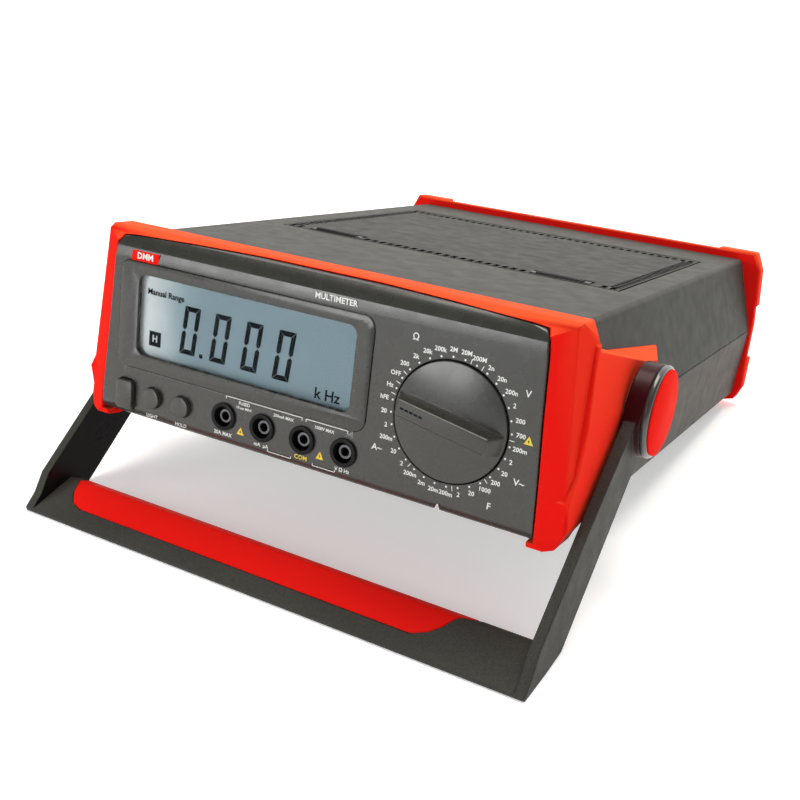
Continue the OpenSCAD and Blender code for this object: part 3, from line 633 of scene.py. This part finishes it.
def draw_dial(shape):
    for stop, text in enumerate(DIAL_MARKS):
        way = direction(dial_angle(stop))
        printed(shape, placed(disc(DOT_R), KNOB + way * DOT_RING))
        # A long numeral beside the knob stands further out, clear of its dot.
        across = DOT_RING + NUMERAL_GAP + CHARACTER_ROOM * len(text) * abs(way.x)
        place = KNOB + Vector((way.x * across, way.y * (DOT_RING + NUMERAL_RISE)))
        letters(shape, text, place, NUMERAL_HEIGHT, weight=0.05)
    for stop in DIAL_DIVIDERS:
        degrees = dial_angle(stop)
        place = KNOB + direction(degrees) * DIVIDER_RING
        printed(shape, turned(rectangle(DIVIDER_LONG, DIVIDER_WIDE), degrees, place))
    for degrees, text in DIAL_UNITS:
        letters(shape, text, KNOB + direction(degrees) * UNIT_RING, UNIT_HEIGHT, weight=0.04)


# ------------------------------------------------------------------ print on the panel

housing_low, housing_high = case_box("input_housings")
SOCKET_Z = (housing_low.z + housing_high.z) / 2
SOCKET_R = (housing_high.z - housing_low.z) / 2
SOCKET_PITCH = (housing_high.x - housing_low.x - 2 * SOCKET_R) / 3
SOCKETS = [housing_low.x + SOCKET_R + SOCKET_PITCH * i for i in range(4)]
SOCKETS_TOP = SOCKET_Z + SOCKET_R
SOCKETS_FOOT = SOCKET_Z - SOCKET_R

# Text under the sockets, by socket; and text above them, each with the socket to its left,
# its rise over the sockets and its height.
SOCKET_NAMES = [(0, "20A MAX"), (1, "mA  μA"), (3, "V Ω Hz")]
LIMITS = [("FUSED", 0, 1.7, 1.5), ("10 sec MAX", 0, -0.3, 1.2), ("200mA MAX", 1, 1.0, 1.4),
          ("1000V MAX", 2, 1.0, 1.4)]
NAME_DROP = 1.7
BUTTON_NAME_DROP = 3.0
NAME_HEIGHT = 1.7
COM_HEIGHT = 2.0

BRACKET_LINE = 0.28
UPPER_BRACKET_RISE = 3.3
UPPER_BRACKET_DROP = 1.2
LOWER_BRACKET_DROP = 3.5
LOWER_BRACKET_RISE = 1.0
UPPER_BRACKETS = [(SOCKETS[0] + 0.5, SOCKETS[2] - 1.0), (SOCKETS[2] + 1.0, SOCKETS[3] + 1.0)]
LOWER_BRACKETS = [(SOCKETS[1] + 3.5, SOCKETS[2] - 5.0), (SOCKETS[2] + 6.0, SOCKETS[3] - 3.5)]

TRIANGLE = 1.9
TRIANGLE_BASE = 0.8
BOLT = [(0.1, 0.62), (-0.3, -0.1), (-0.02, -0.1), (-0.1, -0.6), (0.3, 0.1), (0.02, 0.1)]
BOLT_SIZE = 0.85
BOLT_DROP = 0.12
OVERPRINT = 0.03
TRIANGLES = [(SOCKETS[0] + 0.45 * SOCKET_PITCH, SOCKET_Z - 4.6),
             (SOCKETS[2] + 0.45 * SOCKET_PITCH, SOCKET_Z - 4.6),
             (KNOB.x + 33.0, KNOB.y + 1.2)]

BADGE = (-86.6, 75.2)
BADGE_W = 15.2
BADGE_H = 4.6
BADGE_LEAN = 0.4
BADGE_TEXT_HEIGHT = 2.9
TITLE = (12.6, 76.0)
TITLE_HEIGHT = 2.5


def draw_triangle(yellow, dark, centre):
    """A yellow caution triangle with a dark bolt in it."""
    base = -TRIANGLE * TRIANGLE_BASE
    printed(yellow, placed([(-TRIANGLE, base), (TRIANGLE, base), (0, TRIANGLE)], centre))
    scale = TRIANGLE * BOLT_SIZE
    bolt = [(x * scale, z * scale - BOLT_DROP * TRIANGLE) for x, z in BOLT]
    slab(dark, placed(bolt, centre), INK_FRONT - OVERPRINT, INK_FRONT + 0.02)


def bracket(shape, ends, z, drop):
    """A thin line with turned ends, over or under the sockets."""
    left, right = ends
    middle = (left + right) / 2
    printed(shape, placed(rectangle(right - left, BRACKET_LINE), (middle, z)))
    for x in ends:
        printed(shape, placed(rectangle(BRACKET_LINE, drop), (x, z - drop / 2)))


def draw_badge():
    """The leaning red badge at the panel's upper left."""
    badge = bmesh.new()
    outline = [(x + math.copysign(BADGE_LEAN, z), z) for x, z in rectangle(BADGE_W, BADGE_H)]
    printed(badge, placed(outline, BADGE))
    finish_marks(badge, "panel_badge", "front_panel", LOOKS["front_bezel"])


def draw_panel():
    white = bmesh.new()
    yellow = bmesh.new()
    dark = bmesh.new()
    draw_dial(white)
    for node, text in (("light_button", "LIGHT"), ("hold_button", "HOLD")):
        low, high = case_box(node)
        place = ((low.x + high.x) / 2, low.z - BUTTON_NAME_DROP)
        letters(white, text, place, NAME_HEIGHT, weight=0.02)
    names_z = SOCKETS_FOOT - NAME_DROP
    for socket, text in SOCKET_NAMES:
        letters(white, text, (SOCKETS[socket], names_z), NAME_HEIGHT, weight=0.04)
    letters(yellow, "COM", (SOCKETS[2], names_z), COM_HEIGHT, weight=0.05)
    for text, socket, rise, height in LIMITS:
        place = (SOCKETS[socket] + 0.5 * SOCKET_PITCH, SOCKETS_TOP + rise)
        letters(white, text, place, height, weight=0.03)
    for ends in UPPER_BRACKETS:
        bracket(white, ends, SOCKETS_TOP + UPPER_BRACKET_RISE, UPPER_BRACKET_DROP)
    for ends in LOWER_BRACKETS:
        bracket(white, ends, SOCKETS_FOOT - LOWER_BRACKET_DROP, -LOWER_BRACKET_RISE)
    for centre in TRIANGLES:
        draw_triangle(yellow, dark, centre)
    letters(white, "MULTIMETER", TITLE, TITLE_HEIGHT, weight=0.07)
    letters(white, "DMM", BADGE, BADGE_TEXT_HEIGHT, INK_FRONT - OVERPRINT, weight=0.1)
    draw_badge()
    finish_marks(white, "panel_print_white", "front_panel", WHITE_INK)
    finish_marks(yellow, "panel_print_yellow", "front_panel", YELLOW_INK)
    finish_marks(dark, "panel_print_dark", "front_panel", BLACK_INK)


draw_panel()

# ------------------------------------------------------------------ the display's reading

DIGIT_W = 8.5
DIGIT_H = 21.7
DIGIT_PITCH = 16.7
DIGIT_SLANT = math.tan(math.radians(6))
STROKE = 2.25
SEGMENT_GAP = 0.14
SEGMENT_T = 0.12
SEGMENTS_PROUD = 0.14
POINT_GAP = 3.6
POINT_SIZE = 1.8
# Places on the display, from its centre, and the height of the text or sign at each.
FIRST_DIGIT = Vector((-34.6, -13.4))
RANGE_NOTE = Vector((-43.6, 10.7))
RANGE_NOTE_HEIGHT = 2.7
HOLD_SIGN = Vector((-48.6, -10.3))
HOLD_SIGN_W = 6.6
HOLD_SIGN_H = 6.8
HOLD_TEXT_HEIGHT = 3.1
READING_UNIT = Vector((43.6, -14.6))
READING_UNIT_HEIGHT = 4.8


def zero_bars():
    """The six bars of a nought, mitred where they meet, from its lower left corner."""
    w, h, t, gap = DIGIT_W, DIGIT_H, STROKE, SEGMENT_GAP
    across = [(gap, h), (w - gap, h), (w - t - gap, h - t), (t + gap, h - t)]
    down = [(0, h - gap), (t, h - t - gap), (t, h / 2 + t / 2 + gap), (t / 2, h / 2 + gap),
            (0, h / 2 + t / 2 + gap)]
    bars = []
    for bar in (across, down, [(w - x, z) for x, z in down]):
        bars.append(bar)
        bars.append([(x, h - z) for x, z in bar])
    return bars


def draw_display():
    low, high = case_box("lcd_glass")
    face = low.y - SEGMENTS_PROUD
    centre = Vector(((low.x + high.x) / 2, (low.z + high.z) / 2))
    first = centre + FIRST_DIGIT
    sign = centre + HOLD_SIGN
    black = bmesh.new()
    pale = bmesh.new()
    for i in range(4):
        for bar in zero_bars():
            slanted = [(x + z * DIGIT_SLANT + DIGIT_PITCH * i, z) for x, z in bar]
            slab(black, placed(slanted, first), face, face + SEGMENT_T)
    point = placed(rectangle(POINT_SIZE, POINT_SIZE), (DIGIT_W + POINT_GAP, POINT_SIZE / 2))
    slab(black, placed(point, first), face, face + SEGMENT_T)
    letters(black, "Manual Range", centre + RANGE_NOTE, RANGE_NOTE_HEIGHT, face, weight=0.09)
    slab(black, placed(rectangle(HOLD_SIGN_W, HOLD_SIGN_H), sign), face, face + SEGMENT_T)
    letters(pale, "H", sign, HOLD_TEXT_HEIGHT, face - 0.04, weight=0.12)
    letters(black, "k Hz", centre + READING_UNIT, READING_UNIT_HEIGHT, face, weight=0.12)
    finish_marks(black, "display_segments", "lcd_glass", BLACK_INK)
    finish_marks(pale, "display_hold_sign", "lcd_glass", LOOKS["lcd_glass"])


draw_display()

# ------------------------------------------------------------------ storage lid

LATCH_X = 62
LATCH_HALF = 16.5
GROOVE_INSET = 1.0
GROOVE_W = 5.5
GROOVE_DEEP = 1.3
HINGE_EDGE = 3.6
RIB_PITCH = 4.5
RIB_T = 1.7
lid_low, lid_high = case_box("storage_lid")


def block(shape, low, high):
    """A box between two corners."""
    foot, top = [[shape.verts.new((x, y, z)) for x, y in
                  ((low[0], low[1]), (high[0], low[1]), (high[0], high[1]), (low[0], high[1]))]
                 for z in (low[2], high[2])]
    shape.faces.new(list(reversed(foot)))
    shape.faces.new(top)
    join_rings(shape, top, foot)


def pockets_between(start, end):
    """The start and end of each pocket in one run of the groove."""
    count = round((end - start) / RIB_PITCH)
    pitch = (end - start) / count
    return [(start + pitch * i + RIB_T / 2, start + pitch * (i + 1) - RIB_T / 2)
            for i in range(count)]


def beside_latch(start, end):
    reach = LATCH_HALF + (end - start + RIB_T) / 2
    return abs(abs(start + end) / 2 - LATCH_X) <= reach


def groove_pockets():
    """The pockets between the cross ribs of the groove that runs round the lid."""
    shape = bmesh.new()
    left = lid_low.x + GROOVE_INSET
    right = lid_high.x - GROOVE_INSET
    front = lid_low.y + GROOVE_INSET
    rear = lid_high.y - HINGE_EDGE - GROOVE_INSET
    floor = lid_high.z - GROOVE_DEEP
    top = lid_high.z + 1
    for start, end in pockets_between(left, right):
        if not beside_latch(start, end):
            block(shape, (start, front, floor), (end, front + GROOVE_W, top))
        block(shape, (start, rear - GROOVE_W, floor), (end, rear, top))
    for start, end in pockets_between(front + GROOVE_W, rear - GROOVE_W):
        for x in (left, right - GROOVE_W):
            block(shape, (x, start, floor), (x + GROOVE_W, end, top))
    return shape


def cut_away(piece, cutter_shape, cutter_material):
    """Cuts the cutter's shape, drawn in case axes, out of the piece for good."""
    cutter = add_object("cutter", case_mesh(cutter_shape, "cutter", cutter_material))
    cut = piece.modifiers.new("cut", "BOOLEAN")
    cut.operation = "DIFFERENCE"
    cut.solver = "EXACT"
    cut.object = cutter
    cut.material_mode = "TRANSFER"
    graph = bpy.context.evaluated_depsgraph_get()
    result = bpy.data.meshes.new_from_object(piece.evaluated_get(graph))
    piece.modifiers.remove(cut)
    bpy.data.objects.remove(cutter)
    shape = bmesh.new()
    shape.from_mesh(result)
    shade_by_angle(shape)
    shape.to_mesh(result)
    shape.free()
    piece.data = result


def ribbed_lid():
    lid = shaped_piece(welded_copy("storage_lid"), "storage_lid", LOOKS["storage_lid"])
    # The groove's walls and floor take the cutter's near-black material: painted shade in the recesses.
    cut_away(lid, groove_pockets(), BLACK_AND_PAINTED_SHADE)


ribbed_lid()

# ------------------------------------------------------------------ range knob

# How far the grip is turned from level, in degrees clockwise.
KNOB_TURN = 10.4
DISC_FRONT = -0.6
FRONT_RIM = 0.5
BACK_RIM = 0.3
GRIP_SUNK = 0.3
END_STEPS = 8
CORNER_CUT = 0.6

# The dashes of the pointer along the grip.
DASHES = 5
DASH_FIRST = 6.8
DASH_PITCH = 2.1
DASH_LONG = 1.6
DASH_WIDE = 0.8


def lathe_y(shape, centre, profile, count=96):
    """A solid of revolution about an axis along y; the profile is (radius, y), from the
    axis round to the axis."""
    rings = []
    for radius, y in profile:
        spots = [direction(360 * i / count) * radius for i in range(count if radius else 1)]
        rings.append([shape.verts.new((x, y, z)) for x, z in placed(spots, centre)])
    for near, far in zip(rings, rings[1:]):
        join_rings(shape, near, far)


def grip_ring(shape, half_w, radius, y, corner):
    """A ring of corners: two straight sides, ends on a circle, and softened corners."""
    outline = []
    reach = math.asin((half_w - corner) / radius)
    for side in (0, math.pi):
        for i in range(END_STEPS + 1):
            angle = side - reach + 2 * reach * i / END_STEPS
            outline.append((radius * math.cos(angle), radius * math.sin(angle)))
        # The corner between the end's arc and the straight side.
        edge = math.copysign(1, math.cos(side))
        outline.append((edge * (radius * math.cos(reach) - corner * CORNER_CUT), edge * half_w))
    return [shape.verts.new((x, y, z)) for x, z in turned(outline, -KNOB_TURN, KNOB)]


def knob_grip(shape, root, top):
    """The tapered bar across the knob, with softened upper edges."""
    # Half width, radius of the ends, y and corner radius, from the root to the top.
    levels = [(4.9, KNOB_R - 0.5, root, 0.8), (4.45, KNOB_R - 1.2, root - 0.7, 0.8),
              (3.95, KNOB_R - 3.6, top + 0.9, 0.8), (3.65, KNOB_R - 4.3, top + 0.3, 0.7),
              (3.25, KNOB_R - 4.9, top, 0.6)]
    rings = [grip_ring(shape, *level) for level in levels]
    for low, high in zip(rings, rings[1:]):
        join_rings(shape, high, low)
    shape.faces.new(list(reversed(rings[0])))
    shape.faces.new(rings[-1])


def shaped_knob():
    """The round disc, its front rim rounded in two steps, and the bar across it."""
    shape = bmesh.new()
    back = knob_high.y
    inset = FRONT_RIM * 0.3
    lathe_y(shape, KNOB, [(0, DISC_FRONT), (KNOB_R - FRONT_RIM, DISC_FRONT),
                          (KNOB_R - inset, DISC_FRONT + inset),
                          (KNOB_R, DISC_FRONT + FRONT_RIM), (KNOB_R, back - BACK_RIM),
                          (KNOB_R - BACK_RIM, back), (0, back)])
    knob_grip(shape, DISC_FRONT + GRIP_SUNK, knob_low.y)
    bmesh.ops.recalc_face_normals(shape, faces=shape.faces)
    shape.transform(CASE)
    shade_by_angle(shape)
    shaped_piece(shape, "range_knob", LOOKS["range_knob"])


def knob_pointer():
    """A row of dark dashes on the grip, from its outer end inwards."""
    shape = bmesh.new()
    for i in range(DASHES):
        along_grip = -KNOB_R + DASH_FIRST + DASH_PITCH * i
        dash = placed(rectangle(DASH_LONG, DASH_WIDE), (along_grip, 0))
        slab(shape, turned(dash, -KNOB_TURN, KNOB), knob_low.y - 0.02, knob_low.y + 0.2)
    finish_marks(shape, "knob_pointer", "range_knob", BLACK_INK)


shaped_knob()
knob_pointer()

# ------------------------------------------------------------------ stage and light, in metres

# How bright the surroundings are, from the horizon and below at 0 to overhead at 1.
SKY = [(0.0, 0.75), (0.30, 0.62), (0.46, 0.10), (0.74, 0.06), (0.90, 1.0)]
WORLD_STRENGTH = 0.38
# The paper glows by FLOOR_GLOW up to y = GLOW_FROM, and fully from GLOW_FULL on.
FLOOR_GLOW = 0.42
GLOW_FROM = 0.7
GLOW_FULL = 1.8
SWEEP_HALF = 10.0
BEND_FROM = 1.6
BEND_R = 1.2
BEND_STEPS = 12
WALL_TOP = 4.0


def sweep_paper():
    """White paper, lit from behind more and more towards the wall."""
    paper = moulded("sweep paper", (0.86, 0.86, 0.86), rough=0.9, grain=2.0, depth=0.01,
                    spread=0.01, wear=0.0)
    tree = paper.node_tree
    shader = tree.nodes["Principled BSDF"]
    glow = along(tree, object_coords(tree, 1.0), "Y", GLOW_FROM, GLOW_FULL, FLOOR_GLOW, 1.0)
    feed(tree, shader.inputs["Emission Strength"], glow)
    feed(tree, shader.inputs["Emission Color"], (1, 1, 1, 1))
    return paper


def stage_floor():
    """A pale sweep: floor, curved foot and wall behind the meter."""
    profile = [(-SWEEP_HALF, 0.0), (BEND_FROM, 0.0)]
    for i in range(BEND_STEPS + 1):
        angle = math.radians(90 * i / BEND_STEPS)
        profile.append((BEND_FROM + BEND_R * math.sin(angle), BEND_R - BEND_R * math.cos(angle)))
    profile.append((BEND_FROM + BEND_R, WALL_TOP))
    shape = bmesh.new()
    left, right = [[shape.verts.new((x, y, z)) for y, z in profile]
                   for x in (-SWEEP_HALF, SWEEP_HALF)]
    for i in range(len(profile) - 1):
        shape.faces.new((left[i], right[i], right[i + 1], left[i + 1]))
    mesh = mesh_of(shape, "sweep", sweep_paper())
    mesh.shade_smooth()
    add_object("sweep", mesh)


def area_light(name, place, aim, size, power, colour=(1, 1, 1)):
    data = bpy.data.lights.new(name, "AREA")
    data.shape = "RECTANGLE"
    data.size, data.size_y = size
    data.energy = power
    data.color = colour
    light = add_object(name, data)
    light.location = place
    light.rotation_euler = (Vector(aim) - Vector(place)).to_track_quat("-Z", "Y").to_euler()


def studio_world():
    """Soft surroundings: bright low down and overhead, dark in between."""
    world = bpy.data.worlds.new("studio")
    world.use_nodes = True
    tree = world.node_tree
    background = tree.nodes["Background"]
    coords = tree.nodes.new("ShaderNodeTexCoord")
    split = tree.nodes.new("ShaderNodeSeparateXYZ")
    feed(tree, split.inputs["Vector"], coords.outputs["Generated"])
    feed(tree, background.inputs["Color"], ramp(tree, split.outputs["Z"], SKY))
    feed(tree, background.inputs["Strength"], WORLD_STRENGTH)
    bpy.context.scene.world = world


stage_floor()
studio_world()
area_light("overhead", place=(0.0, 0.25, 1.6), aim=(0, 0.05, 0), size=(1.3, 0.9), power=31,
           colour=(1.0, 0.94, 0.86))
area_light("front", place=(-0.75, -1.5, 0.45), aim=(0, 0, 0.08), size=(1.0, 0.5), power=13)

# ------------------------------------------------------------------ camera

# The camera was placed by the parallel edges of the case, so it is given in case axes. The
# sensor's width and the focal length are in millimetres.
CAMERA_PLACE = Vector((235.8, -368.1, 165.3))
CAMERA_RIGHT = Vector((0.8674, 0.4846, 0.1134))
CAMERA_UP = Vector((-0.2347, 0.1973, 0.9518))
SENSOR = 36.0
LENS = 49.401


def make_camera():
    data = bpy.data.cameras.new("camera")
    data.sensor_width = SENSOR
    data.lens = LENS
    data.clip_start = 0.01
    camera = add_object("camera", data)
    right = (LEAN.to_3x3() @ CAMERA_RIGHT).normalized()
    back = right.cross(LEAN.to_3x3() @ CAMERA_UP).normalized()
    up = back.cross(right)
    turn = Matrix((right, up, back)).transposed().to_4x4()
    camera.matrix_world = Matrix.Translation(CASE @ CAMERA_PLACE) @ turn
    bpy.context.scene.camera = camera


make_camera()
bpy.context.scene.view_settings.view_transform = "Standard"
